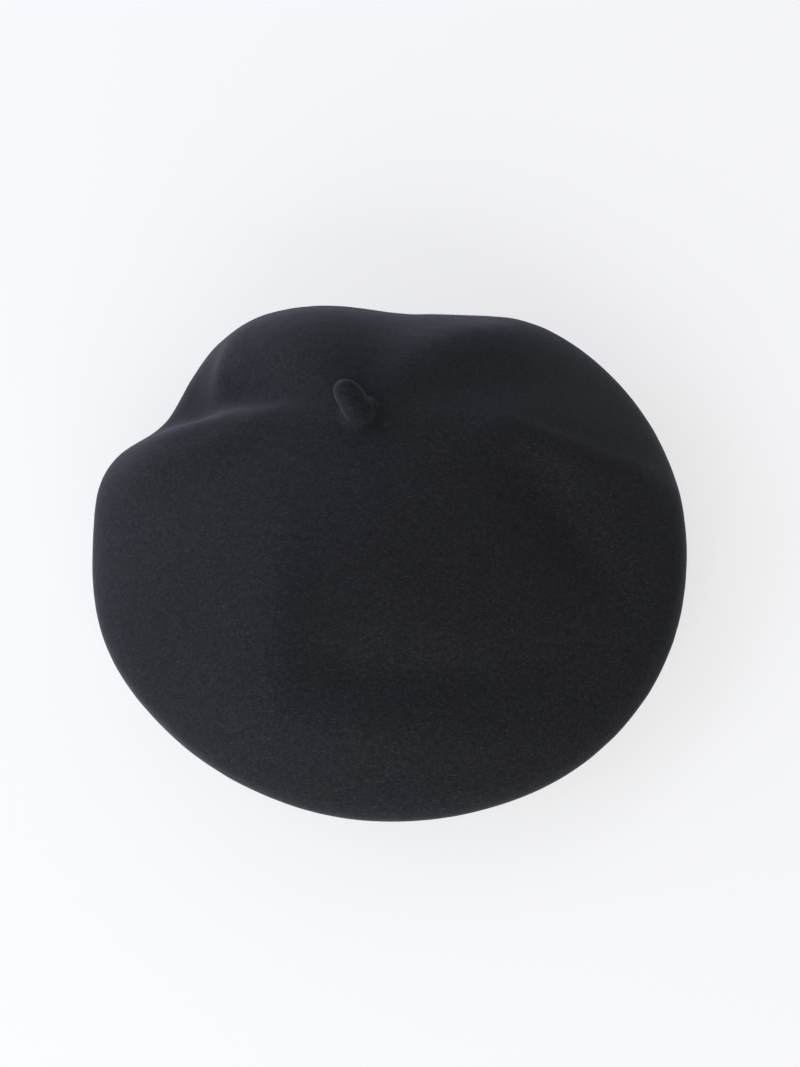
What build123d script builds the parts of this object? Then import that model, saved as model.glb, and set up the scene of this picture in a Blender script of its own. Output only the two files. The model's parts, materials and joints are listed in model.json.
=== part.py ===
"""Soft felted wool beret, lying open side down, with its sweatband, thread, labels and centre stalk.

Frame: -Y is the front, +X the right as seen from above with the front nearest, +Z up. The origin is on the
resting plane, under the middle of the whole beret. Millimetres and degrees.
"""

from build123d import *
import math
import os

os.makedirs("parts", exist_ok=True)

# ---------------------------------------------------------------- driving dimensions
FELT_THICKNESS = 2.6

# Centre of the crown, where the felt carries the stalk
SUMMIT_X = -14.5
SUMMIT_Y = 43.0
SUMMIT_Z = 70.0
SUMMIT_RADIUS = 5.0

# Head opening, the hem turned up around it, and the ring that the beret rests on
OPENING_X = 0.0
OPENING_Y = -14.0
HEM_INNER_RADIUS = 89.6
HEM_HEIGHT = 14.0
HEM_EDGE_RADIUS = 1.1
REST_RING_RADIUS = 95.0

# Sweatband: a ribbon standing inside the hem
BAND_INNER_RADIUS = 88.5
BAND_THICKNESS = 1.0
BAND_BOTTOM = 0.8
BAND_HEIGHT = 22.0
BAND_EDGE_RADIUS = 0.3
BAND_JOINT_GAP = 0.5
BAND_JOINT_ANGLE = 90.0  # the ribbon's ends meet at the centre back

# Thread
THREAD_RADIUS = 0.17
THREAD_GAP = 0.04
STITCH_COUNT = 96
STITCH_LENGTH = 4.4
STITCH_ROW_Z = 3.2
JOINT_STITCH_COUNT = 7
JOINT_STITCH_LENGTH = 5.0
JOINT_STITCH_PITCH = 2.4
TACK_LENGTH = 3.0
TACK_SPREAD = 0.7  # distance between a label's two tacks, as a share of its width

# Stalk: a short tapered nub of felt, leaning back and to the left, and the knot that holds it
STALK_LENGTH = 17.0
STALK_BASE_RADIUS = 5.6
STALK_TIP_RADIUS = 2.9
STALK_LEAN_X = -0.62
STALK_LEAN_Y = 0.38
STALK_CLEARANCE = 0.35
STALK_HOLE_RADIUS = 3.0
KNOT_RADIUS = 5.5
KNOT_HEIGHT = 4.0
KNOT_GAP = 0.1

# Labels: folded satin, sewn behind the top of the sweatband near the centre back
LABEL_THICKNESS = 0.6
LABEL_CLEARANCE = 0.35
LABEL_HINGE_Z = 21.4
LABEL_LEAN = 25.0  # from upright, away from the opening
CARE_LABEL_WIDTH = 22.0
CARE_LABEL_LENGTH = 27.0
CARE_LABEL_ANGLE = 102.0
SIZE_LABEL_WIDTH = 13.0
SIZE_LABEL_LENGTH = 16.0
SIZE_LABEL_ANGLE = 80.0

# The rim of the lying crown, counter-clockwise from the right side. Each station gives the widest point
# of the felt (x, y), its height, the height that the top skin falls to just inside it, how far the skin
# between summit and rim stands up as a ridge (above 0) or sinks as a hollow (below 0), and how flat the
# crown stays round the summit before it falls (1 is a straight slope).
RIM_STATIONS = [
    (128.0, 12.0, 21.0, 37.0, 1.0, 1.6),  # right side
    (124.0, 38.0, 22.0, 39.0, 3.0, 1.6),  # end of the right ridge
    (108.5, 74.0, 23.0, 39.0, -0.5, 1.6),  # right back terrace
    (82.5, 102.8, 24.5, 41.5, -0.5, 1.8),
    (57.0, 115.2, 26.0, 43.0, 0.5, 2.0),  # back right lobe
    (14.0, 119.0, 20.0, 40.0, -1.0, 2.1),  # dip between the back lobes
    (-24.0, 120.2, 27.0, 46.0, 1.0, 2.3),  # back left lobe
    (-58.0, 115.5, 25.0, 43.5, 1.5, 2.3),
    (-86.0, 94.0, 21.0, 35.0, -1.5, 2.1),
    (-102.0, 64.0, 19.0, 30.0, -4.5, 1.7),  # left hollow
    (-122.3, 41.5, 23.0, 38.0, 5.0, 1.5),  # end of the left ridge
    (-127.85, 12.0, 22.0, 38.0, 2.0, 1.6),  # left side
    (-123.0, -37.0, 17.0, 36.0, 1.0, 1.6),
    (-92.0, -82.0, 13.0, 34.0, 1.5, 1.6),
    (-35.0, -114.85, 11.0, 33.5, 2.5, 1.6),  # front left
    (36.0, -115.85, 11.0, 32.0, -0.5, 1.6),  # front right
    (94.3, -83.0, 12.0, 32.0, -5.0, 1.6),  # dent right of the middle
    (120.8, -39.6, 16.0, 33.0, -4.5, 1.6),
]
TOP_RINGS = 14  # rings of the top skin, from the summit to the rim
UNDER_RINGS = 7  # rings of the underside, from the rim to the head opening
ROLL_POWER = 5.0  # how late the top skin rolls over into the rim
FOLD_POWER = 3  # how late the ridges and hollows begin on the way out from the summit
SWELL_PEAK = (FOLD_POWER + 1) ** (FOLD_POWER + 1) / FOLD_POWER**FOLD_POWER
SLOPE_ALLOWANCE = 1.1  # a sloping skin is this much thicker measured upright

summit_plane = Plane(origin=(SUMMIT_X, SUMMIT_Y, SUMMIT_Z))


# ---------------------------------------------------------------- places around the head opening
def opening_plane(z):
    return Plane(origin=(OPENING_X, OPENING_Y, z))


def outward(angle):
    """Level direction away from the middle of the opening."""
    return Vector(math.cos(math.radians(angle)), math.sin(math.radians(angle)), 0)


def around(angle):
    """Level direction along the edge of the opening."""
    return outward(angle + 90.0)


def opening_point(angle, radius, z):
    return Vector(OPENING_X, OPENING_Y, z) + outward(angle) * radius


# ---------------------------------------------------------------- the crown's skins
def top_point(station, share, inset):
    """Point of the top skin, a share of the way from the summit to one rim station."""
    x, y, rim_z, shoulder_z, fold, fall_power = station
    reach = math.hypot(x - SUMMIT_X, y - SUMMIT_Y)
    flat = SUMMIT_RADIUS / reach
    gone = max(0.0, (share - flat) / (1 - flat))
    swell = gone**FOLD_POWER * (1 - gone) * SWELL_PEAK  # 0 at both ends, 1 where it is largest
    skin_z = SUMMIT_Z + (shoulder_z - SUMMIT_Z) * gone**fall_power + fold * swell
    skin_z = skin_z - inset * SLOPE_ALLOWANCE
    z = rim_z + (skin_z - rim_z) * math.sqrt(1 - share**ROLL_POWER)
    along = share * (1 - inset / reach)
    return (SUMMIT_X + (x - SUMMIT_X) * along, SUMMIT_Y + (y - SUMMIT_Y) * along, z)


def under_point(station, degrees, inset):
    """Point of the underside, degrees round its quarter ellipse from the rim to the head opening."""
    x, y, rim_z = station[:3]
    across = math.hypot(x - OPENING_X, y - OPENING_Y)
    turn = math.radians(degrees)
    reach = across - inset - (across - inset - REST_RING_RADIUS) * (1 - math.cos(turn))
    along = reach / across
    z = rim_z - (rim_z - inset) * math.sin(turn)
    return (OPENING_X + (x - OPENING_X) * along, OPENING_Y + (y - OPENING_Y) * along, z)


def ring_through(points):
    with BuildLine() as ring:
        Spline(*points, periodic=True)
    return ring.wire()


def crown_solid(inset):
    """Closed solid inside the felt's outer surface, smaller by the given depth all round."""
    rings = []
    for step in range(UNDER_RINGS, 0, -1):
        degrees = 90.0 * step / UNDER_RINGS
        rings.append(ring_through([under_point(s, degrees, inset) for s in RIM_STATIONS]))
    for step in range(TOP_RINGS, 0, -1):
        share = math.sin(math.radians(90.0 * step / TOP_RINGS))
        rings.append(ring_through([top_point(s, share, inset) for s in RIM_STATIONS]))
    summit = []
    for station in RIM_STATIONS:
        direction = Vector(station[0] - SUMMIT_X, station[1] - SUMMIT_Y, 0).normalized()
        summit.append(summit_plane.origin + direction * SUMMIT_RADIUS - Vector(0, 0, inset))
    rings.append(ring_through(summit))
    return Solid.make_loft(rings, ruled=True)


# ---------------------------------------------------------------- felt body: one seamless shell
outside = crown_solid(0.0)
hollow = crown_solid(FELT_THICKNESS)

with BuildPart() as felt_body:
    add(outside)
    add(hollow, mode=Mode.SUBTRACT)
    # the edge of the opening is turned up inside as a short upright hem
    with BuildSketch(opening_plane(0)):
        Circle(HEM_INNER_RADIUS + FELT_THICKNESS)
    extrude(amount=HEM_HEIGHT)
    with BuildSketch(opening_plane(0)):
        Circle(HEM_INNER_RADIUS)
    extrude(amount=HEM_HEIGHT, mode=Mode.SUBTRACT)
    resting_edges = felt_body.edges().group_by(Axis.Z)[0]
    fillet(resting_edges.sort_by(Edge.length.fget)[0], HEM_EDGE_RADIUS)
    # the hole that the stalk's tail passes through
    with Locations(summit_plane):
        Hole(STALK_HOLE_RADIUS, depth=2 * FELT_THICKNESS)
felt_body.part.label = "felt_body"
export_step(felt_body.part, "parts/felt_body.step")

# ---------------------------------------------------------------- stalk and its knot
lean = Vector(STALK_LEAN_X, STALK_LEAN_Y, 1.0).normalized()
bend_axis = Vector(-STALK_LEAN_Y, STALK_LEAN_X, 0.0).normalized()
stalk_pivot = summit_plane.origin + Vector(0, 0, STALK_CLEARANCE + STALK_BASE_RADIUS)

with BuildPart() as stalk:
    # two circles joined by their hull, turned about the leaning axis
    with BuildSketch(Plane(origin=stalk_pivot, x_dir=bend_axis, z_dir=bend_axis.cross(lean))):
        Circle(STALK_BASE_RADIUS)
        with Locations((0, STALK_LENGTH - STALK_BASE_RADIUS - STALK_TIP_RADIUS)):
            Circle(STALK_TIP_RADIUS)
        make_hull()
        split(bisect_by=Plane.YZ)
    revolve(axis=Axis(stalk_pivot, lean))
stalk.part.label = "stalk"
export_step(stalk.part, "parts/stalk.step")

with BuildPart() as stalk_anchor_knot:
    # flattened ball of yarn under the felt, with its tail up through the hole
    with BuildSketch(summit_plane.offset(-FELT_THICKNESS - KNOT_GAP)):
        Circle(KNOT_RADIUS)
    extrude(amount=-KNOT_HEIGHT)
    fillet(stalk_anchor_knot.edges().filter_by(GeomType.CIRCLE), KNOT_HEIGHT * 0.45)
    with BuildSketch(summit_plane.offset(-FELT_THICKNESS - KNOT_HEIGHT / 2)):
        Circle(STALK_HOLE_RADIUS - KNOT_GAP)
    extrude(amount=FELT_THICKNESS + KNOT_HEIGHT / 2 - KNOT_GAP)
stalk_anchor_knot.part.label = "stalk_anchor_knot"
export_step(stalk_anchor_knot.part, "parts/stalk_anchor_knot.step")

# ---------------------------------------------------------------- sweatband: one ribbon whose ends meet
with BuildPart() as sweatband:
    with BuildSketch(opening_plane(BAND_BOTTOM)):
        Circle(BAND_INNER_RADIUS + BAND_THICKNESS)
        Circle(BAND_INNER_RADIUS, mode=Mode.SUBTRACT)
        with PolarLocations(BAND_INNER_RADIUS, 1, start_angle=BAND_JOINT_ANGLE):
            Rectangle(6 * BAND_THICKNESS, BAND_JOINT_GAP, mode=Mode.SUBTRACT)
    extrude(amount=BAND_HEIGHT)
    long_edges = sweatband.edges().filter_by(GeomType.CIRCLE)
    fillet(long_edges, BAND_EDGE_RADIUS)
sweatband.part.label = "sweatband"
export_step(sweatband.part, "parts/sweatband.step")


# ---------------------------------------------------------------- thread
def band_stitches(places, length):
    """Straight stitches along the inner face of the sweatband, one solid each, at (angle, height)."""
    radius = BAND_INNER_RADIUS - THREAD_RADIUS - THREAD_GAP
    with BuildPart() as row:
        for angle, z in places:
            middle = Plane(origin=opening_point(angle, radius, z), z_dir=around(angle))
            with BuildSketch(middle):
                Circle(THREAD_RADIUS)
            extrude(amount=length / 2, both=True)
    return row.part


edge_places = []
for number in range(STITCH_COUNT):
    edge_places.append((BAND_JOINT_ANGLE + (number + 0.5) * 360.0 / STITCH_COUNT, STITCH_ROW_Z))
sweatband_stitching = band_stitches(edge_places, STITCH_LENGTH)
sweatband_stitching.label = "sweatband_stitching"
export_step(sweatband_stitching, "parts/sweatband_stitching.step")

joint_places = []
for number in range(JOINT_STITCH_COUNT):
    joint_places.append((BAND_JOINT_ANGLE, STITCH_ROW_Z + (number + 1) * JOINT_STITCH_PITCH))
sweatband_joint_stitching = band_stitches(joint_places, JOINT_STITCH_LENGTH)
sweatband_joint_stitching.label = "sweatband_joint_stitching"
export_step(sweatband_joint_stitching, "parts/sweatband_joint_stitching.step")

tack_places = []
for label_angle, label_width in ((CARE_LABEL_ANGLE, CARE_LABEL_WIDTH), (SIZE_LABEL_ANGLE, SIZE_LABEL_WIDTH)):
    step_aside = math.degrees(label_width * TACK_SPREAD / 2 / BAND_INNER_RADIUS)
    tack_places.append((label_angle - step_aside, LABEL_HINGE_Z))
    tack_places.append((label_angle + step_aside, LABEL_HINGE_Z))
label_stitching = band_stitches(tack_places, TACK_LENGTH)
label_stitching.label = "label_stitching"
export_step(label_stitching, "parts/label_stitching.step")


# ---------------------------------------------------------------- labels
def folded_label(angle, width, length):
    """Strip folded double, hinged at its sewn edge behind the sweatband and leaning away from the opening."""
    hinge_radius = BAND_INNER_RADIUS + BAND_THICKNESS + LABEL_CLEARANCE + LABEL_THICKNESS / 2
    hinge = opening_point(angle, hinge_radius, LABEL_HINGE_Z)
    rise = outward(angle) * math.sin(math.radians(LABEL_LEAN))
    rise = rise + Vector(0, 0, math.cos(math.radians(LABEL_LEAN)))
    side = Plane(origin=hinge + rise * (length / 2), x_dir=rise, z_dir=around(angle))
    with BuildPart() as label:
        with BuildSketch(side):
            SlotCenterToCenter(length, LABEL_THICKNESS)
        extrude(amount=width / 2, both=True)
    return label.part


care_label = folded_label(CARE_LABEL_ANGLE, CARE_LABEL_WIDTH, CARE_LABEL_LENGTH)
care_label.label = "care_label"
export_step(care_label, "parts/care_label.step")

size_label = folded_label(SIZE_LABEL_ANGLE, SIZE_LABEL_WIDTH, SIZE_LABEL_LENGTH)
size_label.label = "size_label"
export_step(size_label, "parts/size_label.step")
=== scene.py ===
"""Looks of the felted wool beret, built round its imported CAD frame."""

import json
import math

import bpy
import numpy as np
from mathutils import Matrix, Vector, noise
from mathutils.bvhtree import BVHTree


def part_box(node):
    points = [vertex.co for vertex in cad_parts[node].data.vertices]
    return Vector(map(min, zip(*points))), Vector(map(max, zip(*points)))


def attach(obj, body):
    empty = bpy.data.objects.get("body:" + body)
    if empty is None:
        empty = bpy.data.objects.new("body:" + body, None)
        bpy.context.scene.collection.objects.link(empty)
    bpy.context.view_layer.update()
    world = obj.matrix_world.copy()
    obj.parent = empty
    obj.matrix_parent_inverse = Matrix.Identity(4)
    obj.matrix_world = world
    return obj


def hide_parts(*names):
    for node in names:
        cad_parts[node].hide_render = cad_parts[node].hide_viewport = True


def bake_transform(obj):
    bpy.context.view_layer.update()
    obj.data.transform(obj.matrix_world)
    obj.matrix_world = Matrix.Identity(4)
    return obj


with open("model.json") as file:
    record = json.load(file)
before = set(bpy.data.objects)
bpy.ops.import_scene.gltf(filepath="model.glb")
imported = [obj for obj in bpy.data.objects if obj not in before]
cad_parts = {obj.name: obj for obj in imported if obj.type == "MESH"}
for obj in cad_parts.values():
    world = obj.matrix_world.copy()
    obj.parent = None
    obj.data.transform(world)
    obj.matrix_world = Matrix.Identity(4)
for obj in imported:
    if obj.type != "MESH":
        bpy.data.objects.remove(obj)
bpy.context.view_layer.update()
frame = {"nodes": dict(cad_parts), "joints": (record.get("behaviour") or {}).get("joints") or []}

MM = 0.001
FELT_THICKNESS = 2.6 * MM

# ------------------------------------------------------------------ stage: camera, light and floor
IMAGE_HEIGHT = 1067
CAMERA_ELEVATION = math.radians(60)
CAMERA_DISTANCE = 1.4
METRES_PER_PIXEL = 0.00043
# As Blender takes it, in millimetres, along the longer side of the picture
SENSOR = 36.0
LOOK_AT = Vector((0.0043, 0.0080, 0.0246))


def make_camera():
    data = bpy.data.cameras.new("camera")
    data.sensor_width = SENSOR
    data.lens = SENSOR * CAMERA_DISTANCE / METRES_PER_PIXEL / IMAGE_HEIGHT
    camera = bpy.data.objects.new("camera", data)
    bpy.context.scene.collection.objects.link(camera)
    back = Vector((0, -math.cos(CAMERA_ELEVATION), math.sin(CAMERA_ELEVATION)))
    camera.location = LOOK_AT + back * CAMERA_DISTANCE
    camera.rotation_mode = "QUATERNION"
    camera.rotation_quaternion = (-back).to_track_quat("-Z", "Y")
    bpy.context.scene.camera = camera


LIGHT_DISTANCE = 2.2
LIGHT_ELEVATION = math.radians(22.5)
LIGHT_WIDTH = 2.4
LIGHT_HEIGHT = 1.1
# Soft boxes in a low ring round the beret: name, direction in plan in degrees, watts, colour
LIGHTS = [
    ("front", 270, 51, (1.0, 1.0, 0.98)),
    ("front_left", 225, 29, (0.82, 0.88, 1.0)),
    ("left", 180, 33, (0.72, 0.77, 1.0)),
    ("back_left", 135, 28, (0.81, 0.82, 1.0)),
    ("back", 90, 15, (0.93, 0.94, 1.0)),
    ("back_right", 45, 4.5, (1.0, 1.0, 0.93)),
]


def make_lights():
    for name, degrees, watts, colour in LIGHTS:
        turn = math.radians(degrees)
        data = bpy.data.lights.new(name, "AREA")
        data.shape = "RECTANGLE"
        data.size = LIGHT_WIDTH
        data.size_y = LIGHT_HEIGHT
        data.energy = watts
        data.color = colour
        light = bpy.data.objects.new(name, data)
        level = math.cos(LIGHT_ELEVATION)
        toward = Vector((math.cos(turn) * level, math.sin(turn) * level, math.sin(LIGHT_ELEVATION)))
        light.location = toward * LIGHT_DISTANCE
        light.rotation_mode = "QUATERNION"
        light.rotation_quaternion = toward.to_track_quat("Z", "Y")
        bpy.context.scene.collection.objects.link(light)


FLOOR_SIZE = 14
FLOOR_SHADE = 0.27
FLOOR_GLOW = 0.68
WORLD_COLOUR = (0.97, 0.98, 1.0)
WORLD_STRENGTH = 0.05


def make_floor():
    """Pale board lit partly from within, so that shadows on it stay faint."""
    bpy.ops.mesh.primitive_plane_add(size=FLOOR_SIZE, location=(0, 0, 0))
    floor = bpy.context.object
    floor.name = "floor"
    material = bpy.data.materials.new("pale_floor")
    material.use_nodes = True
    shader = material.node_tree.nodes["Principled BSDF"]
    shader.inputs["Base Color"].default_value = (FLOOR_SHADE, FLOOR_SHADE, FLOOR_SHADE, 1)
    shader.inputs["Roughness"].default_value = 0.9
    shader.inputs["Specular IOR Level"].default_value = 0.0
    shader.inputs["Emission Color"].default_value = (1, 1, 1, 1)
    shader.inputs["Emission Strength"].default_value = FLOOR_GLOW
    floor.data.materials.append(material)


def make_stage():
    scene = bpy.context.scene
    scene.view_settings.view_transform = "Standard"
    world = bpy.data.worlds.new("studio")
    scene.world = world
    world.use_nodes = True
    background = world.node_tree.nodes["Background"]
    background.inputs["Color"].default_value = (*WORLD_COLOUR, 1)
    background.inputs["Strength"].default_value = WORLD_STRENGTH
    make_lights()


make_camera()
make_floor()
make_stage()


# ------------------------------------------------------------------ reading the CAD felt
def tree_of(node):
    mesh = frame["nodes"][node].data
    points = [v.co.copy() for v in mesh.vertices]
    return BVHTree.FromPolygons(points, [tuple(p.vertices) for p in mesh.polygons])


felt_tree = tree_of("felt_body")
# How far outside a ray starts, and how far past its target it still looks
FAR = 0.5
PAST_TARGET = 0.03


def first_hit(target, direction):
    """Where a ray from far out in this direction, aimed back at target, first meets the CAD felt."""
    direction = Vector(direction).normalized()
    target = Vector(target)
    hit = felt_tree.ray_cast(target + direction * FAR, -direction, FAR + PAST_TARGET)[0]
    return hit


band_low, band_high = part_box("sweatband")
opening_middle = (band_low + band_high) / 2
OPENING = Vector((opening_middle.x, opening_middle.y, 0))
BAND_OUTER = (band_high.x - band_low.x) / 2
knot_low, knot_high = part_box("stalk_anchor_knot")
SUMMIT = Vector(((knot_low.x + knot_high.x) / 2, (knot_low.y + knot_high.y) / 2, 0))
SUMMIT_Z = knot_high.z


# ------------------------------------------------------------------ mesh helpers
def closed_grid(rows):
    """Vertices and faces of a tube of rings, each the same length, with a fan over each end."""
    around = len(rows[0])
    points = [tuple(p) for row in rows for p in row]
    faces = []
    for i in range(len(rows) - 1):
        for j in range(around):
            k = (j + 1) % around
            faces.append((i * around + j, i * around + k, (i + 1) * around + k, (i + 1) * around + j))
    for row, flip in ((0, True), (len(rows) - 1, False)):
        middle = np.mean(np.array(rows[row]), axis=0)
        points.append(tuple(middle))
        for j in range(around):
            k = (j + 1) % around
            pair = (row * around + j, row * around + k)
            if flip:
                pair = pair[::-1]
            faces.append((pair[0], pair[1], len(points) - 1))
    return points, faces


def joined(parts):
    """Several (points, faces) as one."""
    points, faces = [], []
    for some_points, some_faces in parts:
        start = len(points)
        points.extend(some_points)
        faces.extend(tuple(i + start for i in face) for face in some_faces)
    return points, faces


def new_piece(name, points, faces, material):
    mesh = bpy.data.meshes.new(name)
    mesh.from_pydata(points, [], faces)
    mesh.validate()
    mesh.polygons.foreach_set("use_smooth", [True] * len(mesh.polygons))
    piece = bpy.data.objects.new(name, mesh)
    bpy.context.scene.collection.objects.link(piece)
    mesh.materials.append(material)
    fix_normals(piece)
    return piece


def fix_normals(piece):
    bpy.context.view_layer.objects.active = piece
    piece.select_set(True)
    bpy.ops.object.mode_set(mode="EDIT")
    bpy.ops.mesh.select_all(action="SELECT")
    bpy.ops.mesh.normals_make_consistent(inside=False)
    bpy.ops.object.mode_set(mode="OBJECT")
    piece.select_set(False)


def unit(v):
    return v / np.linalg.norm(v, axis=-1, keepdims=True)


# A direction that no tube starts along, to turn its first ring by
TUBE_SIDE = (0.3, 0.5, 0.81)


def tube(path, radii, sides):
    """Closed round tube along a path of points, with its own radius at each."""
    path = np.array(path, float)
    tangent = unit(np.gradient(path, axis=0))
    side = unit(np.cross(tangent[0], TUBE_SIDE))
    rows = []
    for point, direction, radius in zip(path, tangent, radii):
        side = unit(side - direction * (side @ direction))
        other = np.cross(direction, side)
        row = []
        for k in range(sides):
            turn = 2 * math.pi * k / sides
            row.append(point + (side * math.cos(turn) + other * math.sin(turn)) * radius)
        rows.append(row)
    return closed_grid(rows)


def groups(values, gap):
    """Indices of values, grouped where sorted values lie closer together than gap."""
    order = np.argsort(values)
    found = [[order[0]]]
    for before, after in zip(order[:-1], order[1:]):
        if values[after] - values[before] > gap:
            found.append([])
        found[-1].append(after)
    return found


def node_points(node):
    return np.array([list(v.co) for v in frame["nodes"][node].data.vertices])


# ------------------------------------------------------------------ material helpers
# Sockets of a Mix node that mixes colours
MIX_FACTOR, MIX_FIRST, MIX_SECOND = 0, 6, 7
MIX_RESULT = 2


class Nodes:
    """A material's node tree, with short calls to add nodes and join them."""

    def __init__(self, name):
        self.material = bpy.data.materials.new(name)
        self.material.use_nodes = True
        self.tree = self.material.node_tree
        self.shader = self.tree.nodes["Principled BSDF"]

    def add(self, kind, **inputs):
        node = self.tree.nodes.new(kind)
        for key, value in inputs.items():
            node.inputs[key.replace("_", " ")].default_value = value
        return node

    def join(self, out, into):
        self.tree.links.new(out, into)

    def place(self, scale=(1, 1, 1), rotation=(0, 0, 0)):
        where = self.add("ShaderNodeTexCoord")
        mapping = self.add("ShaderNodeMapping", Scale=scale, Rotation=rotation)
        self.join(where.outputs["Object"], mapping.inputs["Vector"])
        return mapping.outputs["Vector"]

    def noise(self, scale=1.0, detail=2.0, roughness=0.5, at=None):
        node = self.add("ShaderNodeTexNoise", Scale=scale, Detail=detail, Roughness=roughness)
        self.join(at if at is not None else self.place(), node.inputs["Vector"])
        return node.outputs["Fac"]

    def ramp(self, value, stops):
        """Colour that runs between two stops, each a position and a colour."""
        node = self.tree.nodes.new("ShaderNodeValToRGB")
        for element, (position, colour) in zip(node.color_ramp.elements, stops):
            element.position = position
            element.color = (*colour, 1)
        self.join(value, node.inputs["Fac"])
        return node.outputs["Color"]

    def mix(self, kind, first, second):
        node = self.tree.nodes.new("ShaderNodeMix")
        node.data_type = "RGBA"
        node.blend_type = kind
        node.inputs[MIX_FACTOR].default_value = 1.0
        self.set_or_join(node.inputs[MIX_FIRST], first)
        self.set_or_join(node.inputs[MIX_SECOND], second)
        return node.outputs[MIX_RESULT]

    def sum(self, parts):
        """Weighted sum of values: [(value, weight), ...]."""
        total = None
        for value, weight in parts:
            node = self.tree.nodes.new("ShaderNodeMath")
            node.operation = "MULTIPLY_ADD"
            self.join(value, node.inputs[0])
            node.inputs[1].default_value = weight
            if total is None:
                node.inputs[2].default_value = 0.0
            else:
                self.join(total, node.inputs[2])
            total = node.outputs[0]
        return total

    def set_or_join(self, socket, value):
        if isinstance(value, bpy.types.NodeSocket):
            self.join(value, socket)
        elif isinstance(value, tuple):
            socket.default_value = (*value, 1)
        else:
            socket.default_value = value

    def bump(self, height, strength, distance):
        node = self.add("ShaderNodeBump", Strength=strength, Distance=distance)
        self.join(height, node.inputs["Height"])
        self.join(node.outputs["Normal"], self.shader.inputs["Normal"])

    def finish(self, colour, roughness, specular, sheen=0.0, sheen_roughness=0.5, sheen_tint=(1, 1, 1)):
        self.set_or_join(self.shader.inputs["Base Color"], colour)
        self.set_or_join(self.shader.inputs["Roughness"], roughness)
        self.shader.inputs["Sheen Weight"].default_value = sheen
        self.shader.inputs["Sheen Roughness"].default_value = sheen_roughness
        self.shader.inputs["Sheen Tint"].default_value = (*sheen_tint, 1)
        self.shader.inputs["Specular IOR Level"].default_value = specular
        return self.material


def felt_material(name, shade, sheen, specular):
    """Milled wool: dark fibres matted every way, a few paler ones, and a thin nap that catches the light."""
    n = Nodes(name)
    patches = n.noise(scale=16.0, detail=3.0, roughness=0.55)
    mottle = n.noise(scale=520.0, detail=4.0, roughness=0.7)
    grain = n.noise(scale=1500.0, roughness=0.6)
    fibres_a = n.noise(roughness=0.6, at=n.place(scale=(520, 3400, 2100), rotation=(0.3, 0.2, 0.5)))
    fibres_b = n.noise(roughness=0.6, at=n.place(scale=(3200, 480, 2300), rotation=(0.1, 0.5, 1.2)))
    fibres_c = n.noise(roughness=0.6, at=n.place(scale=(2000, 2100, 460), rotation=(0.7, 0.1, 2.0)))
    dark = n.ramp(mottle, [(0.32, (0.0032, 0.0034, 0.0043)), (0.70, (0.0125, 0.0129, 0.0153))])
    flecks = n.ramp(fibres_a, [(0.58, (0, 0, 0)), (0.74, (0.030, 0.031, 0.036))])
    strands = n.ramp(fibres_b, [(0.60, (0, 0, 0)), (0.76, (0.021, 0.022, 0.026))])
    colour = n.mix("ADD", dark, flecks)
    colour = n.mix("ADD", colour, strands)
    worn = n.ramp(patches, [(0.35, (0.86, 0.86, 0.86)), (0.68, (1.10, 1.10, 1.12))])
    colour = n.mix("MULTIPLY", colour, worn)
    colour = n.mix("MULTIPLY", colour, (shade, shade, shade))
    height = n.sum([(mottle, 0.6), (grain, 0.45), (fibres_a, 0.5), (fibres_b, 0.5), (fibres_c, 0.45)])
    n.bump(height, strength=0.6, distance=0.22 * MM)
    roughness = n.ramp(patches, [(0.3, (0.88, 0.88, 0.88)), (0.7, (0.97, 0.97, 0.97))])
    blue = (0.80, 0.85, 1.0)
    return n.finish(colour, roughness, specular, sheen=sheen, sheen_roughness=0.45, sheen_tint=blue)


def yarn_material():
    n = Nodes("wool_yarn")
    fuzz = n.noise(scale=900.0, detail=4.0, roughness=0.6)
    colour = n.ramp(fuzz, [(0.3, (0.008, 0.008, 0.011)), (0.75, (0.024, 0.025, 0.031))])
    n.bump(fuzz, strength=0.5, distance=0.3 * MM)
    return n.finish(colour, roughness=0.92, specular=0.25, sheen=0.4, sheen_tint=(0.75, 0.8, 1.0))


def ribbon_material():
    """Grosgrain: the ribs are in the mesh, and the threads that make them are here."""
    n = Nodes("grosgrain_ribbon")
    weft = n.noise(at=n.place(scale=(900, 900, 5200)))
    slub = n.noise(scale=60.0, detail=3.0)
    colour = n.ramp(weft, [(0.3, (0.0060, 0.0062, 0.0080)), (0.75, (0.0170, 0.0175, 0.0215))])
    shade = n.ramp(slub, [(0.3, (0.85, 0.85, 0.85)), (0.7, (1.12, 1.12, 1.12))])
    colour = n.mix("MULTIPLY", colour, shade)
    n.bump(weft, strength=0.4, distance=0.12 * MM)
    return n.finish(colour, roughness=0.48, specular=0.45, sheen=0.15, sheen_tint=(0.8, 0.85, 1.0))


def thread_material():
    n = Nodes("sewing_thread")
    ply = n.noise(scale=2600.0)
    colour = n.ramp(ply, [(0.3, (0.018, 0.019, 0.024)), (0.75, (0.050, 0.052, 0.062))])
    n.bump(ply, strength=0.4, distance=0.08 * MM)
    return n.finish(colour, roughness=0.42, specular=0.5)


def satin_material():
    n = Nodes("label_satin")
    weave = n.noise(at=n.place(scale=(6000, 1200, 1200), rotation=(0.2, 0.4, 0.1)))
    wear = n.noise(scale=120.0, detail=3.0)
    colour = n.ramp(weave, [(0.25, (0.60, 0.585, 0.545)), (0.75, (0.76, 0.745, 0.70))])
    tone = n.ramp(wear, [(0.3, (0.93, 0.93, 0.92)), (0.7, (1.0, 1.0, 1.0))])
    colour = n.mix("MULTIPLY", colour, tone)
    n.bump(weave, strength=0.25, distance=0.06 * MM)
    return n.finish(colour, roughness=0.34, specular=0.5, sheen=0.1)


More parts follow.
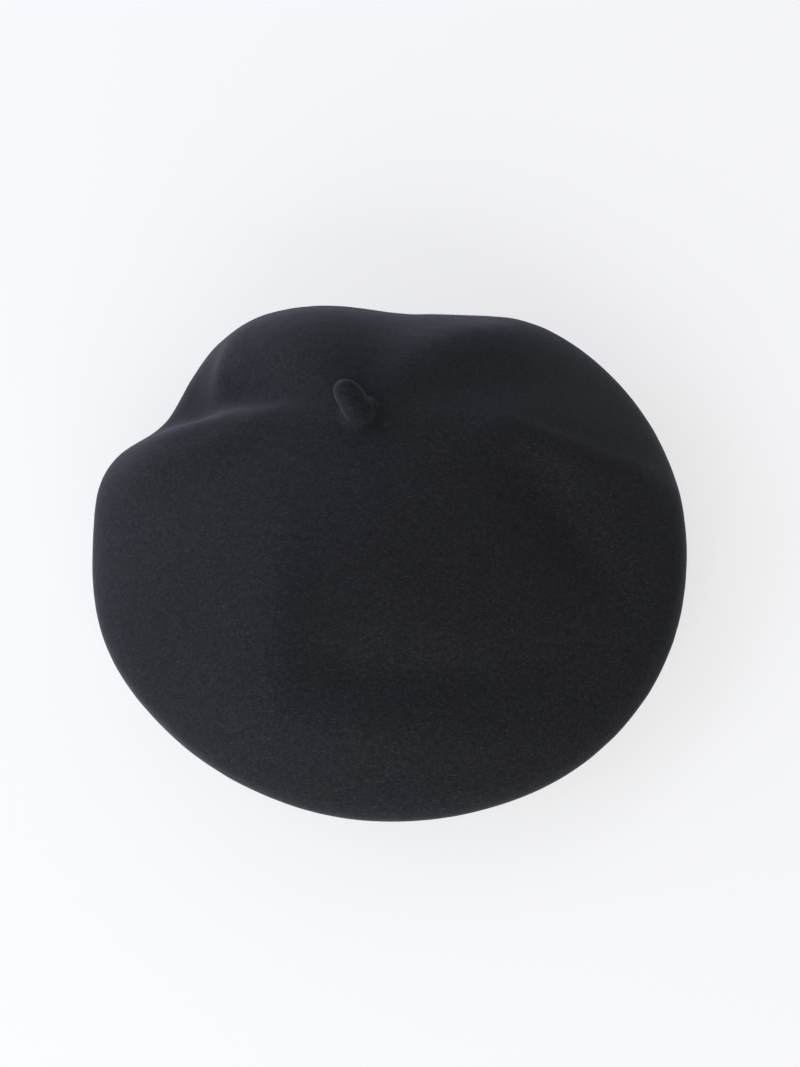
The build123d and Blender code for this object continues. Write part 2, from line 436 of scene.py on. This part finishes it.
FELT = felt_material("wool_felt", shade=0.80, sheen=0.12, specular=0.22)
# The stalk's felt is the same felt painted a little darker, as painted shade on the nub, with a little less
# sheen and specular
STALK_FELT_SHADED = felt_material("stalk_felt_shaded", shade=0.78, sheen=0.10, specular=0.20)
YARN = yarn_material()
RIBBON = ribbon_material()
THREAD = thread_material()
SATIN = satin_material()

# ------------------------------------------------------------------ felt shell
# The hem stands just outside the ribbon, and the beret rests on a ring a little farther out
HEM_RADIUS = BAND_OUTER + 0.1 * MM
REST_RADIUS = HEM_RADIUS + FELT_THICKNESS + 2.8 * MM
HEM_TOP = 14 * MM
# Radius of the bend where the felt turns up into the hem
HEM_BEND = 1.1 * MM
# Rows up the hem's inner and outer face, and the corner inside its fold as shares of its bend's radius
HEM_INNER_ROWS = 7
HEM_OUTER_ROWS = 4
HEM_CORNER = (0.4, 0.35)
# Points round each row, and rows over the crown, round the rim and under it
AROUND = 360
TOP_ROWS = 74
ROLL_ROWS = 22
UNDER_ROWS = 14
# Below 1, so that the rows over the crown lie a little closer together towards the rim
ROW_POWER = 0.93
# Heights between which the rim is looked for, and at how many levels
RIM_FROM = 4 * MM
RIM_TO = 44 * MM
RIM_LEVELS = 41
# Rays round the rim turn about a knee, this far in from it or this share of the way to the resting ring,
# whichever is less
KNEE_INSET = 15 * MM
KNEE_ROOM = 0.55
# Targets of the rays from above and from below
CROWN_TARGET = 30 * MM
UNDER_TARGET = 1 * MM
# The hole for the stalk's yarn is bridged this far out
HOLE_COVER = 4.5 * MM
# Rounds of smoothing of the rim's line, of the skin and of the folds
RIM_ROUNDS = 3
SKIN_ROUNDS = 6
FOLD_ROUNDS = 5
# No point of the outside is lower than this
LOWEST = 0.02 * MM
# Folds are whole where the felt's normal points at least this far up, and fade to none where it is level
FOLD_SLOPE = 0.5
# How far the nap stands out from the shell, in millimetres, and over how many rows it ends at the ring
NAP = 0.7
NAP_FADE_ROWS = 6
# Unevenness of the felt: how high in millimetres, and how far across in metres
WAVE_HEIGHT = 0.5
WAVE_SIZE = 0.045
PIT_HEIGHT = 0.10
PIT_SIZE = 0.007


def rim_curve():
    """Widest point of the felt at each step round the opening."""
    points = []
    for step in range(AROUND):
        turn = 2 * math.pi * step / AROUND
        out = Vector((math.cos(turn), math.sin(turn), 0))
        best = None
        for z in np.linspace(RIM_FROM, RIM_TO, RIM_LEVELS):
            hit = felt_tree.ray_cast(OPENING + out * FAR + Vector((0, 0, z)), -out, FAR)[0]
            if hit is not None and (best is None or (hit - OPENING).xy.length > (best - OPENING).xy.length):
                best = hit
        points.append(list(best))
    return np.array(points)


def smooth_ring(values, rounds):
    for _ in range(rounds):
        values = (np.roll(values, 1, 0) + 2 * values + np.roll(values, -1, 0)) / 4
    return values


def outer_skin():
    """Rows of points on the CAD felt's outer surface, from the summit over the rim to the resting ring."""
    rim = smooth_ring(rim_curve(), RIM_ROUNDS)
    outward = unit((rim - np.array(OPENING))[:, :2])
    ring = np.zeros_like(rim)
    ring[:, :2] = np.array(OPENING)[:2] + outward * REST_RADIUS
    room = np.linalg.norm((rim - ring)[:, :2], axis=1)
    knee = rim.copy()
    knee[:, :2] -= outward * np.minimum(KNEE_INSET, KNEE_ROOM * room)[:, None]
    rows = []
    summit = np.array([SUMMIT.x, SUMMIT.y, 0.0])
    for step in range(1, TOP_ROWS + 1):
        plan = summit + (knee - summit) * (step / TOP_ROWS) ** ROW_POWER
        rows.append([first_hit((p[0], p[1], CROWN_TARGET), (0, 0, 1)) for p in plan])
        near = np.linalg.norm((plan - summit)[:, :2], axis=1) < HOLE_COVER
        for column in np.where(near)[0]:
            rows[-1][column] = Vector((plan[column][0], plan[column][1], SUMMIT_Z))
    for step in range(1, ROLL_ROWS):
        turn = math.pi / 2 - math.pi * step / ROLL_ROWS
        across = outward * math.cos(turn)
        rows.append([first_hit(p, (d[0], d[1], math.sin(turn))) for p, d in zip(knee, across)])
    for step in range(UNDER_ROWS):
        plan = knee + (ring - knee) * (step / UNDER_ROWS)
        rows.append([first_hit((p[0], p[1], UNDER_TARGET), (0, 0, -1)) for p in plan])
    rows.append([Vector(p) for p in ring])
    grid = np.array([[list(p) if p is not None else [math.nan] * 3 for p in row] for row in rows])
    return mended(grid)


def mended(grid):
    """Fills the few points that no ray met from the rows before and after."""
    missing = np.isnan(grid[:, :, 0])
    for column in range(grid.shape[1]):
        gone = missing[:, column]
        if gone.any():
            have = np.where(~gone)[0]
            for axis in range(3):
                grid[gone, column, axis] = np.interp(np.where(gone)[0], have, grid[have, column, axis])
    return grid


def smoothed(grid, rounds):
    """Evens out the CAD's flat bands. The last row, which the beret rests on, stays."""
    for _ in range(rounds):
        inner = (grid[:-2] + grid[2:]) / 4 + grid[1:-1] / 2
        grid = np.concatenate([grid[:1], inner, grid[-1:]])
        beside = (np.roll(grid, 1, 1) + np.roll(grid, -1, 1)) / 4 + grid / 2
        grid = np.concatenate([beside[:-1], grid[-1:]])
    return grid


def grid_normals(grid):
    along = np.gradient(grid, axis=0)
    beside = np.roll(grid, -1, 1) - np.roll(grid, 1, 1)
    return unit(np.cross(along, beside))


def shell_rows(outer):
    """The whole felt as rings: outside, turned-up hem, and inside back to the summit."""
    normals = grid_normals(outer)
    inner = outer - normals * FELT_THICKNESS
    inner[-1] = outer[-1] + np.array([0, 0, FELT_THICKNESS])
    outward = np.zeros_like(outer[-1])
    outward[:, :2] = unit((outer[-1] - np.array(OPENING))[:, :2])
    t = FELT_THICKNESS
    bend = HEM_BEND
    profile = [(HEM_RADIUS + 2 * bend, 0.0), (HEM_RADIUS + bend, 0.0)]
    for degrees in (30, 60, 90):
        turn = math.radians(degrees)
        profile.append((HEM_RADIUS + bend - bend * math.sin(turn), bend - bend * math.cos(turn)))
    for z in np.linspace(bend, HEM_TOP - t / 2, HEM_INNER_ROWS)[1:]:
        profile.append((HEM_RADIUS, z))
    for degrees in (30, 60, 90, 120, 150, 180):
        turn = math.radians(degrees)
        radius = HEM_RADIUS + t / 2 - t / 2 * math.cos(turn)
        profile.append((radius, HEM_TOP - t / 2 + t / 2 * math.sin(turn)))
    for z in np.linspace(HEM_TOP - t / 2, t + bend, HEM_OUTER_ROWS)[1:]:
        profile.append((HEM_RADIUS + t, z))
    profile.append((HEM_RADIUS + t + HEM_CORNER[0] * bend, t + HEM_CORNER[1] * bend))
    profile.append((HEM_RADIUS + t + bend, t))
    hem = []
    for radius, z in profile:
        hem.append(np.array(OPENING) + outward * radius + np.array([0, 0, z]))
    return list(outer) + hem + list(inner[::-1][::2])


def make_felt():
    outer = smoothed(outer_skin(), SKIN_ROUNDS)
    outer = add_folds(outer)
    outer[:, :, 2] = np.maximum(outer[:, :, 2], LOWEST)
    points, faces = closed_grid(shell_rows(outer))
    piece = new_piece("beret_felt", points, faces, FELT)
    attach(piece, "crown")
    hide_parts("felt_body")
    return outer


# Soft folds of the lying crown, in millimetres: (x, y, height) along each, then how far it reaches to the
# left and to the right of that direction. A crest is above 0 and a hollow below.
FOLDS = [
    # crest across the left, from the rim towards the stalk
    ([(-119, 31, 0.5), (-102, 28, 2.0), (-81, 28.5, 2.2),
      (-62, 36, 1.2), (-45, 45, 0.3), (-34, 49, 0.0)], 5, 16),
    # crest across the right, from the rim towards the stalk
    ([(122, 29, 0.8), (110, 29.5, 2.2), (88, 30.5, 2.6),
      (66, 36.5, 2.0), (47, 42.5, 1.0), (36, 46, 0.0)], 16, 4),
    # left edge of the back lobe, and the hollow beside it
    ([(-60, 108, 1.0), (-68, 92, 3.2), (-72, 76, 3.6), (-73, 62, 1.5)], 16, 6),
    ([(-87, 92, -1.0), (-87, 76, -2.5), (-82, 60, -2.0)], 8, 8),
    # back edge of the crown, and the hollow behind its right half
    ([(-50, 86, 0.3), (-28, 80, 0.2), (-2, 78, 0.3), (15, 77, 0.5),
      (28, 78, 1.0), (44, 87, 1.6), (58, 99, 0.8)], 14, 16),
    ([(8, 93, -0.2), (26, 95, -0.4), (42, 104, -1.4)], 9, 9),
    # the back dips between its two lobes
    ([(12, 98, 0.8), (18, 110, 1.2)], 12, 12),
    # dent right of the middle
    ([(44, 38, 0.0), (60, 18, -4.0), (75, 0, -6.5), (88, -16, -6.0), (104, -34, -2.0)], 17, 26),
    # low ridge from the stalk to the front left, the hollow before the front edge, and the edge
    ([(-38, 20, 0.3), (-42, 0, 1.8), (-45, -25, 3.6),
      (-48, -50, 4.8), (-50, -72, 3.8), (-48, -95, 0.4)], 20, 34),
    ([(-44, -66, -1.0), (-20, -69, -5.0), (10, -71, -6.0),
      (42, -69, -5.6), (72, -58, -4.5), (94, -42, -1.0)], 15, 16),
    ([(-66, -82, 0.5), (-30, -91, 2.2), (5, -93, 2.8), (40, -90, 2.4), (74, -76, 1.5)], 14, 10),
    # the felt gathers in a short crease at the front right of the stalk
    ([(-6.5, 38.5, -0.6), (-3, 34.5, -1.1), (2, 30, -0.2)], 2.2, 2.6),
]


def fold_lift(x, y, line, left, right):
    """How far one fold lifts the felt at each point in plan."""
    nearest = np.full(x.shape, np.inf)
    lift = np.zeros(x.shape)
    for (x0, y0, h0), (x1, y1, h1) in zip(line[:-1], line[1:]):
        dx, dy = x1 - x0, y1 - y0
        share = np.clip(((x - x0) * dx + (y - y0) * dy) / (dx * dx + dy * dy), 0, 1)
        away_x, away_y = x - x0 - share * dx, y - y0 - share * dy
        away = np.hypot(away_x, away_y)
        reach = np.where(dx * away_y - dy * away_x > 0, left, right)
        better = away < nearest
        nearest = np.where(better, away, nearest)
        lift = np.where(better, (h0 + (h1 - h0) * share) / (1 + (away / reach) ** 2) ** 1.5, lift)
    return lift


def add_folds(outer):
    """Folds and soft unevenness of a felt that has been handled, over the shape that the CAD already has."""
    x, y = outer[:, :, 0] / MM, outer[:, :, 1] / MM
    lift = np.zeros(x.shape)
    for line, left, right in FOLDS:
        lift += fold_lift(x, y, line, left, right)
    lift = smoothed(lift[:, :, None], FOLD_ROUNDS)[:, :, 0]
    normals = grid_normals(outer)
    facing_up = np.clip(normals[:, :, 2] / FOLD_SLOPE, 0, 1)
    lift = lift * facing_up * facing_up * (3 - 2 * facing_up)
    rough = np.zeros(x.shape)
    for i in range(x.shape[0] - 1):
        for j in range(x.shape[1]):
            p = Vector(outer[i, j])
            wave = WAVE_HEIGHT * noise.noise(p / WAVE_SIZE)
            rough[i, j] = wave + PIT_HEIGHT * noise.noise(p / PIT_SIZE)
    rows_left = x.shape[0] - 1 - np.arange(x.shape[0])
    fade = np.clip(rows_left / NAP_FADE_ROWS, 0, 1)[:, None]
    return outer + normals * (lift + (rough + NAP) * fade)[:, :, None] * MM


felt_skin = make_felt()

# ------------------------------------------------------------------ stalk and its knot
skin_points, skin_faces = closed_grid(list(felt_skin))
skin_tree = BVHTree.FromPolygons([Vector(p) for p in skin_points], skin_faces)
ABOVE_ALL = 0.2


def felt_height(x, y):
    hit = skin_tree.ray_cast(Vector((x, y, ABOVE_ALL)), Vector((0, 0, -1)))[0]
    return hit.z if hit is not None else SUMMIT_Z


STALK_SIDES = 40
# The stalk's foot from the summit in plan, and its crest from the CAD stalk's tip, in millimetres
FOOT_SHIFT = (1.8, -2.6)
CREST_SHIFT = (-1.2, 0, 0)
# Rings of the flare at the foot: radius and height over the felt, in millimetres
FLARE = [(12.0, -0.5), (10.2, -0.10), (8.8, 0.25), (7.7, 0.9), (6.9, 1.9)]
# How far the flare's rings shift to the back left for each millimetre that they rise
FLARE_LEAN = 0.1
# Where the body starts from the foot, in millimetres, and its rings: share of the way to the crest, and
# radius in millimetres
BODY_START = (-0.4, 0.4, 3.0)
BODY = [
    (0.0, 6.5), (0.18, 6.3), (0.36, 6.0), (0.54, 5.6),
    (0.70, 5.0), (0.84, 4.1), (0.93, 3.0), (0.985, 1.7),
]
# How far the rings are from round, as shares of their radius, and in radians where that starts and how
# far it turns along the stalk
FLARE_OVAL = 0.07
BODY_OVAL = 0.06
THREE_SIDED = 0.04
OVAL_FROM = 0.6
OVAL_TWIST = 3
THREE_SIDED_TWIST = 5


def out_of_round(turn, oval, share=0):
    """A ring's radius in this direction, against the radius of a round one."""
    twice = oval * math.sin(2 * turn + OVAL_FROM + OVAL_TWIST * share)
    return 1 + twice + THREE_SIDED * math.sin(3 * turn + THREE_SIDED_TWIST * share)


def make_stalk():
    """Tapered nub that grows out of the felt in a soft flare and leans as the CAD stalk does."""
    joint = next(j for j in frame["joints"] if j["name"] == "stalk_bend")
    pivot = np.array(joint["pos_m"])
    points = node_points("stalk")
    tip = points[np.argmax(np.linalg.norm(points - pivot, axis=1))]
    lean = unit(tip - pivot)
    foot_x = SUMMIT.x + FOOT_SHIFT[0] * MM
    foot_y = SUMMIT.y + FOOT_SHIFT[1] * MM
    foot = np.array([foot_x, foot_y, felt_height(foot_x, foot_y)])
    crest = tip + np.array(CREST_SHIFT) * MM
    rows = []
    for radius, lift in FLARE:
        row = []
        for k in range(STALK_SIDES):
            turn = 2 * math.pi * k / STALK_SIDES
            reach = radius * MM * out_of_round(turn, FLARE_OVAL)
            x = foot[0] + reach * math.cos(turn) - FLARE_LEAN * lift * MM
            y = foot[1] + reach * math.sin(turn) + FLARE_LEAN * lift * MM
            row.append([x, y, felt_height(x, y) + lift * MM])
        rows.append(row)
    up = np.array([0, 0, 1.0])
    side = unit(np.cross(lean, up))
    start = foot + np.array(BODY_START) * MM
    for share, radius in BODY:
        ease = share * share * (3 - 2 * share)
        direction = unit(up * (1 - ease) + lean * ease)
        centre = start + (crest - start) * share
        across = unit(side - direction * (side @ direction))
        other = np.cross(across, direction)
        row = []
        for k in range(STALK_SIDES):
            turn = 2 * math.pi * k / STALK_SIDES
            vector = across * math.cos(turn) - other * math.sin(turn)
            row.append(centre + vector * radius * MM * out_of_round(turn, BODY_OVAL, share))
        rows.append(aligned(row, rows[-1]))
    points, faces = closed_grid(rows)
    piece = new_piece("felt_stalk", points, faces, STALK_FELT_SHADED)
    subdivide(piece, levels=2)
    roughen(piece, height=0.16 * MM, size=2.8 * MM)
    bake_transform(piece)
    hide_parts("stalk")


def aligned(row, before):
    """The ring turned and, if need be, reversed so that it starts and runs as the one before it does."""
    row = np.array(row)
    before = np.array(before)
    best = None
    for ring in (row, row[::-1]):
        for shift in range(len(ring)):
            turned = np.roll(ring, shift, 0)
            cost = np.sum((turned - before) ** 2)
            if best is None or cost < best[0]:
                best = (cost, turned)
    return best[1].tolist()


def subdivide(piece, levels):
    modifier = piece.modifiers.new("smooth", "SUBSURF")
    modifier.levels = modifier.render_levels = levels
    bpy.context.view_layer.objects.active = piece
    bpy.ops.object.modifier_apply(modifier=modifier.name)
    piece.data.polygons.foreach_set("use_smooth", [True] * len(piece.data.polygons))


def roughen(piece, height, size):
    """Moves each point along its normal by smooth noise."""
    moves = [v.normal.copy() * (height * noise.noise(v.co / size)) for v in piece.data.vertices]
    for vertex, move in zip(piece.data.vertices, moves):
        vertex.co = vertex.co + move


make_stalk()

# The knot: points along it, share of its trefoil that is drawn, spread, height, and how far its middle
# is over the lowest point of the CAD knot
KNOT_STEPS = 220
KNOT_SHARE = 0.97
KNOT_SPREAD = 3.9 * MM
KNOT_HEIGHT = 0.75 * MM
KNOT_RISE = 2.0 * MM
# The tail: points along it, how far below the CAD knot's top it ends, and how far over the knot it turns up
TAIL_STEPS = 29
TAIL_BELOW_TOP = 0.4 * MM
TAIL_TURN = 0.6 * MM
# The two plies: length of one turn, distance from the yarn's middle, radius, and radii that taper both ends
PLY_TURN = 3.2 * MM
PLY_OFFSET = 0.42 * MM
PLY_RADIUS = 0.62 * MM
PLY_END_RADII = (0.25 * MM, 0.45 * MM, 0.58 * MM)
PLY_SIDES = 10
# A direction that the yarn never runs along, to turn the plies by
PLY_SIDE = (0.2, 0.3, 0.93)


def make_knot():
    """Two-ply yarn tied in a knot under the felt, with its tail up through the hole."""
    centre = np.array(list((knot_low + knot_high) / 2))
    knot_middle = knot_low.z + KNOT_RISE
    path = []
    for k in range(KNOT_STEPS):
        a = 2 * math.pi * k / KNOT_STEPS * KNOT_SHARE
        x = (math.sin(a) + 2 * math.sin(2 * a)) / 3 * KNOT_SPREAD
        y = (math.cos(a) - 2 * math.cos(2 * a)) / 3 * KNOT_SPREAD
        z = -math.sin(3 * a) * KNOT_HEIGHT
        path.append([centre[0] + x, centre[1] + y, knot_middle + z])
    tail_from = np.array(path[-1])
    tail_to = np.array([centre[0], centre[1], knot_high.z - TAIL_BELOW_TOP])
    bend = np.array([centre[0], centre[1], knot_middle + TAIL_TURN])
    for k in range(1, TAIL_STEPS + 1):
        t = k / TAIL_STEPS
        path.append((1 - t) ** 2 * tail_from + 2 * t * (1 - t) * bend + t * t * tail_to)
    path = np.array(path)
    tangent = unit(np.gradient(path, axis=0))
    run = np.concatenate([[0], np.cumsum(np.linalg.norm(np.diff(path, axis=0), axis=1))])
    plies = []
    for start in (0, math.pi):
        side = unit(np.cross(tangent, PLY_SIDE))
        other = np.cross(tangent, side)
        turn = start + run / PLY_TURN * 2 * math.pi
        line = path + (side * np.cos(turn)[:, None] + other * np.sin(turn)[:, None]) * PLY_OFFSET
        radii = np.full(len(line), PLY_RADIUS)
        radii[:3] = PLY_END_RADII
        radii[-3:] = PLY_END_RADII[::-1]
        plies.append(tube(line, radii, PLY_SIDES))
    points, faces = joined(plies)
    piece = new_piece("anchor_knot", points, faces, YARN)
    roughen(piece, height=0.08 * MM, size=0.9 * MM)
    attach(piece, "crown")
    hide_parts("stalk_anchor_knot")


make_knot()

# ------------------------------------------------------------------ sweatband
RIB_PITCH = 1.05 * MM
RIB_DEPTH = 0.13 * MM
RIB_STEPS = 4
# Degrees left open where the ribbon's ends meet
RIBBON_GAP = 0.3
# Rows up each face, how far inside the CAD ribbon's box they stop, and how far inside it the edges are
FACE_ROWS = 9
EDGE_MARGIN = 0.35 * MM
EDGE_INSET = 0.08 * MM
# How far through the ribbon's thickness each kind of row lies
THROUGH = {"in": 0.0, "top_in": 0.3, "top_out": 0.7, "out": 1.0, "low_out": 0.7, "low_in": 0.3}
# Which way along the radius the dips between ribs move each face
RIB_SIDE = {"in": 1, "out": -1}


def make_ribbon():
    """Grosgrain ribbon with its ribs as geometry, closed at the two ends that meet at the back."""
    points = node_points("sweatband") - np.array(OPENING)
    inner_radius = np.linalg.norm(points[:, :2], axis=1).min()
    angles = np.sort(np.degrees(np.arctan2(points[:, 1], points[:, 0])) % 360)
    jump = np.argmax(np.diff(np.concatenate([angles, [angles[0] + 360]])))
    start, sweep = angles[(jump + 1) % len(angles)], 360 - RIBBON_GAP
    length = math.radians(sweep) * inner_radius
    ribs = round(length / RIB_PITCH)
    columns = ribs * RIB_STEPS + 1
    thickness = BAND_OUTER - inner_radius
    rows_z = np.linspace(band_low.z + EDGE_MARGIN, band_high.z - EDGE_MARGIN, FACE_ROWS)
    top, low = band_high.z - EDGE_INSET, band_low.z + EDGE_INSET
    profile = [("in", z) for z in rows_z]
    profile += [("top_in", top), ("top_out", top)]
    profile += [("out", z) for z in rows_z[::-1]]
    profile += [("low_out", low), ("low_in", low)]
    rings = []
    for column in range(columns):
        turn = math.radians(start + sweep * column / (columns - 1))
        rib = 0.5 - 0.5 * math.cos(2 * math.pi * column / RIB_STEPS + math.pi)
        ring = []
        for face, z in profile:
            dip = RIB_DEPTH * rib * RIB_SIDE.get(face, 0)
            radius = inner_radius + thickness * THROUGH[face] + dip
            ring.append([OPENING.x + radius * math.cos(turn), OPENING.y + radius * math.sin(turn), z])
        rings.append(ring)
    points, faces = closed_grid(rings)
    piece = new_piece("sweatband_ribbon", points, faces, RIBBON)
    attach(piece, "crown")
    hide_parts("sweatband")
    return inner_radius


band_inner = make_ribbon()

# ------------------------------------------------------------------ thread
STITCH_POINTS = 9
THREAD_RADIUS = 0.17 * MM
THREAD_SIDES = 8
# How deep a stitch's ends go into the ribbon, how much thinner they are, and how suddenly both happen
STITCH_DIVE = 0.55 * MM
STITCH_THINNING = 0.25
DIVE_POWER = 5
THINNING_POWER = 4
# Points farther apart than this belong to different stitches
STITCH_GAP = 0.4 * MM
JOINT_STITCH_GAP = 0.5 * MM


def stitch(first, last, out):
    """One stitch between two points on the ribbon: lies on it and dives into it at both ends."""
    first, last, out = np.array(first), np.array(last), np.array(out)
    path, radii = [], []
    for share in np.linspace(0, 1, STITCH_POINTS):
        from_middle = abs(2 * share - 1)
        dive = from_middle ** DIVE_POWER * STITCH_DIVE
        path.append(first + (last - first) * share + out * dive)
        radii.append(THREAD_RADIUS * (1 - STITCH_THINNING * from_middle ** THINNING_POWER))
    return tube(path, radii, THREAD_SIDES)


def make_stitches(name, node, key, gap):
    """Stitches where the CAD node has them. key gives each point the value that they are told apart by."""
    points = node_points(node)
    parts = []
    for members in groups(key(points), gap):
        own = points[members]
        middle = own.mean(0)
        out = unit(np.array([middle[0] - OPENING.x, middle[1] - OPENING.y, 0.0]))
        along = np.array([-out[1], out[0], 0.0])
        half = (own - middle) @ along
        parts.append(stitch(middle + along * half.min(), middle + along * half.max(), out))
    mesh_points, faces = joined(parts)
    piece = new_piece(name, mesh_points, faces, THREAD)
    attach(piece, "crown")
    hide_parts(node)


def by_angle(points):
    """Distance along the ribbon, measured from a gap between stitches."""
    turn = np.arctan2(points[:, 1] - OPENING.y, points[:, 0] - OPENING.x)
    turn = (turn - math.pi / 2) % (2 * math.pi)
    return turn * band_inner


def by_height(points):
    return points[:, 2]


make_stitches("ribbon_stitches", "sweatband_stitching", by_angle, STITCH_GAP)
make_stitches("ribbon_joint_stitches", "sweatband_joint_stitching", by_height, JOINT_STITCH_GAP)
make_stitches("label_tacks", "label_stitching", by_angle, STITCH_GAP)

# ------------------------------------------------------------------ labels
# The two layers' distance from the middle between them, half of one layer's thickness, and the cup across
LAYER_OFFSET = 0.17 * MM
LAYER_HALF = 0.11 * MM
LABEL_CUP = 0.35 * MM
# Points along one layer, columns across, and the turns of the fold in degrees
LABEL_POINTS = 26
LABEL_COLUMNS = 15
FOLD_TURNS = range(-75, 90, 15)


def make_label(name, node, body, curl):
    """Satin strip folded double over its far end, hinged where it is sewn. Curl is its bow at that end."""
    joint = next(j for j in frame["joints"] if j["child"] == body)
    hinge = np.array(joint["pos_m"])
    side = unit(np.array(joint["axis"], float))
    points = node_points(node) - hinge
    across = points @ side
    width = across.max() - across.min()
    flat = points - across[:, None] * side
    rise = unit(flat[np.argmax(np.linalg.norm(flat, axis=1))])
    length = np.linalg.norm(flat, axis=1).max()
    face = np.cross(side, rise)
    straight = np.linspace(0, length - LAYER_OFFSET - LAYER_HALF, LABEL_POINTS)
    centre = [(v, -LAYER_OFFSET) for v in straight]
    for degrees in FOLD_TURNS:
        turn = math.radians(degrees)
        centre.append((straight[-1] + LAYER_OFFSET * math.cos(turn), LAYER_OFFSET * math.sin(turn)))
    centre += [(v, LAYER_OFFSET) for v in straight[::-1]]
    centre = np.array(centre)
    tangent = unit(np.gradient(centre, axis=0))
    normal = np.stack([-tangent[:, 1], tangent[:, 0]], 1)
    outline = np.concatenate([centre + normal * LAYER_HALF, (centre - normal * LAYER_HALF)[::-1]])
    rings = []
    for u in np.linspace(-0.5, 0.5, LABEL_COLUMNS):
        ring = []
        for v, w in outline:
            bow = curl * (v / length) ** 2 + LABEL_CUP * (4 * u * u) * (v / length)
            ring.append(hinge + side * (u * width) + rise * v + face * (w + bow))
        rings.append(ring)
    mesh_points, faces = closed_grid(rings)
    piece = new_piece(name, mesh_points, faces, SATIN)
    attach(piece, body)
    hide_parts(node)


make_label("care_label_strip", "care_label", "care_label_flap", 1.2 * MM)
make_label("size_label_strip", "size_label", "size_label_flap", -0.6 * MM)
